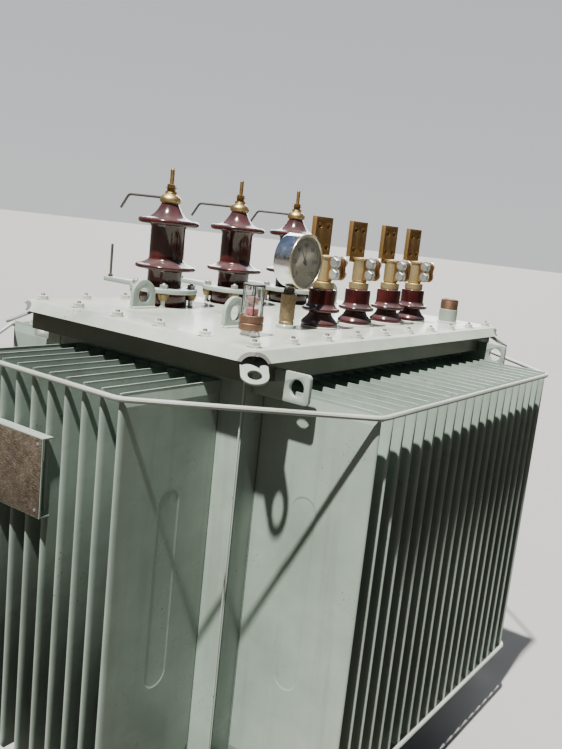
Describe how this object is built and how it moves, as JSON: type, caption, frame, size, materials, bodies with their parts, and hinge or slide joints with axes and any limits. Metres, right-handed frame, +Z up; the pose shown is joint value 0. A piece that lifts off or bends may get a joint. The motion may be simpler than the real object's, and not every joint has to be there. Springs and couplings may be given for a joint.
{
  "type": "power transformer",
  "caption": "Sealed oil-filled power transformer: corrugated fin tank, flat bolted cover, high- and low-voltage porcelain bushings, dial thermometer, oil gauge and lifting eyes.",
  "frame": {"origin": "on the ground, below the middle of the whole outline", "axes": "+Z up; X along the long side, with the rating plate facing -X; low-voltage bushings towards -Y, high-voltage bushings towards +Y"},
  "size_m": [1.4904, 1.0456, 1.3246],
  "materials": {
    "tank_paint": "grey-green semi-gloss paint, lightly dusted",
    "rod_paint": "pale grey-green paint",
    "brown_porcelain": "glossy dark red-brown glaze",
    "brass": "dull machined brass",
    "chrome": "polished",
    "gauge_glass": "clear",
    "red_float": "red",
    "rating_plate_metal": "dark etched plate, bare"
  },
  "bodies": {
    "root": {"base_frame": "tank_paint", "bottom_tie_rod": "rod_paint", "corner_eye_front_left": "tank_paint", "corner_eye_front_right": "tank_paint", "corner_eye_rear_left": "tank_paint", "corner_eye_rear_right": "tank_paint", "filler_cap": "brass", "filler_pipe": "tank_paint", "front_fin_wall": "tank_paint", "gauge_base": "brass", "gauge_float": "red_float", "gauge_glass": "gauge_glass", "gauge_lid": "brass", "hv_clamp_1": "tank_paint", "hv_clamp_2": "tank_paint", "hv_clamp_3": "tank_paint", "hv_porcelain_1": "brown_porcelain", "hv_porcelain_2": "brown_porcelain", "hv_porcelain_3": "brown_porcelain", "hv_terminal_1": "brass", "hv_terminal_2": "brass", "hv_terminal_3": "brass", "lashing_plate_front_left": "tank_paint", "lashing_plate_front_right": "tank_paint", "lashing_plate_rear_left": "tank_paint", "lashing_plate_rear_right": "tank_paint", "left_fin_wall": "tank_paint", "lifting_lug_front_left": "tank_paint", "lifting_lug_front_right": "tank_paint", "lifting_lug_rear_left": "tank_paint", "lifting_lug_rear_right": "tank_paint", "lv_porcelain_1": "brown_porcelain", "lv_porcelain_2": "brown_porcelain", "lv_porcelain_3": "brown_porcelain", "lv_porcelain_4": "brown_porcelain", "lv_terminal_1": "brass", "lv_terminal_2": "brass", "lv_terminal_3": "brass", "lv_terminal_4": "brass", "plate_bracket": "tank_paint", "rating_plate": "rating_plate_metal", "rear_fin_wall": "tank_paint", "right_fin_wall": "tank_paint", "tank_body": "tank_paint", "tank_cover": "tank_paint", "tank_rim": "tank_paint", "thermometer_head": "chrome", "thermometer_pocket": "brass", "top_tie_rod": "rod_paint"}
  },
  "joints": []
}
